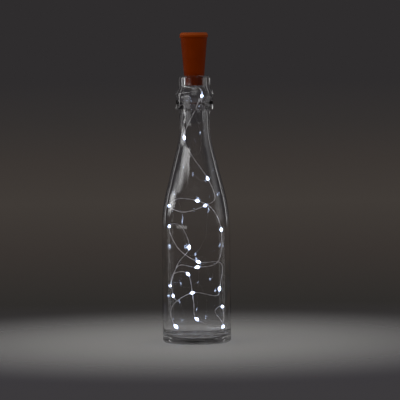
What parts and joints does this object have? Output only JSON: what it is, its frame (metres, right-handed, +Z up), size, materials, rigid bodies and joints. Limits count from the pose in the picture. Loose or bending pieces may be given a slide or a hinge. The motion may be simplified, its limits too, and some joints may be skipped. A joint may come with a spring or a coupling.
{
  "type": "cork bottle light",
  "caption": "Clear glass bottle with a thick collar, and a cork-shaped battery light in its mouth from which a fine wire string with small lamps in resin drops hangs inside.",
  "frame": {"origin": "centre of the bottle's base, on the surface it stands on", "axes": "+Z up along the bottle's axis, +X along the switch's travel towards the lit end, +Y towards the cap's screw; the side seen in the picture faces -Y"},
  "size_m": [0.0676, 0.0676, 0.3055],
  "materials": {
    "clear_glass": "polished",
    "cork_plastic": "satin",
    "glue": "satin",
    "white_plastic": "satin",
    "cell_steel": "satin",
    "contact_metal": "satin",
    "board": "satin",
    "black_plastic": "satin",
    "phenolic": "matte",
    "red_sleeve": "gloss",
    "black_sleeve": "gloss",
    "coated_wire": "satin",
    "lamp": "gloss",
    "resin": "polished"
  },
  "bodies": {
    "bottle": {"bottle": "clear_glass"},
    "cork": {"cork_shell": "cork_plastic", "glue_plug": "glue", "positive_lead": "red_sleeve", "negative_lead": "black_sleeve", "string_wire": "coated_wire", "led_chips": "lamp", "resin_drops": "resin"},
    "core": {"top_cap": "cork_plastic", "battery_cradle": "white_plastic", "upper_cell": "cell_steel", "middle_cell": "cell_steel", "lower_cell": "cell_steel", "positive_contact": "contact_metal", "negative_contact": "contact_metal", "circuit_board": "board", "series_resistor": "black_plastic", "switch_frame": "cell_steel", "switch_base": "phenolic", "switch_pins": "contact_metal", "retaining_screw": "cell_steel"},
    "knob": {"switch_knob": "black_plastic", "switch_contact": "contact_metal"}
  },
  "joints": [
    {"name": "cork_lift", "type": "slide", "parent": "bottle", "child": "cork", "axis": [0, 0, 1], "range_m": [0, 0.025], "deforming": ["string_wire", "led_chips", "resin_drops"]},
    {"name": "core_lift", "type": "slide", "parent": "cork", "child": "core", "axis": [0, 0, 1], "range_m": [0, 0.035], "deforming": ["positive_lead", "negative_lead"]},
    {"name": "switch_slide", "type": "slide", "parent": "core", "child": "knob", "axis": [1, 0, 0], "range_m": [-0.002, 0]}
  ]
}
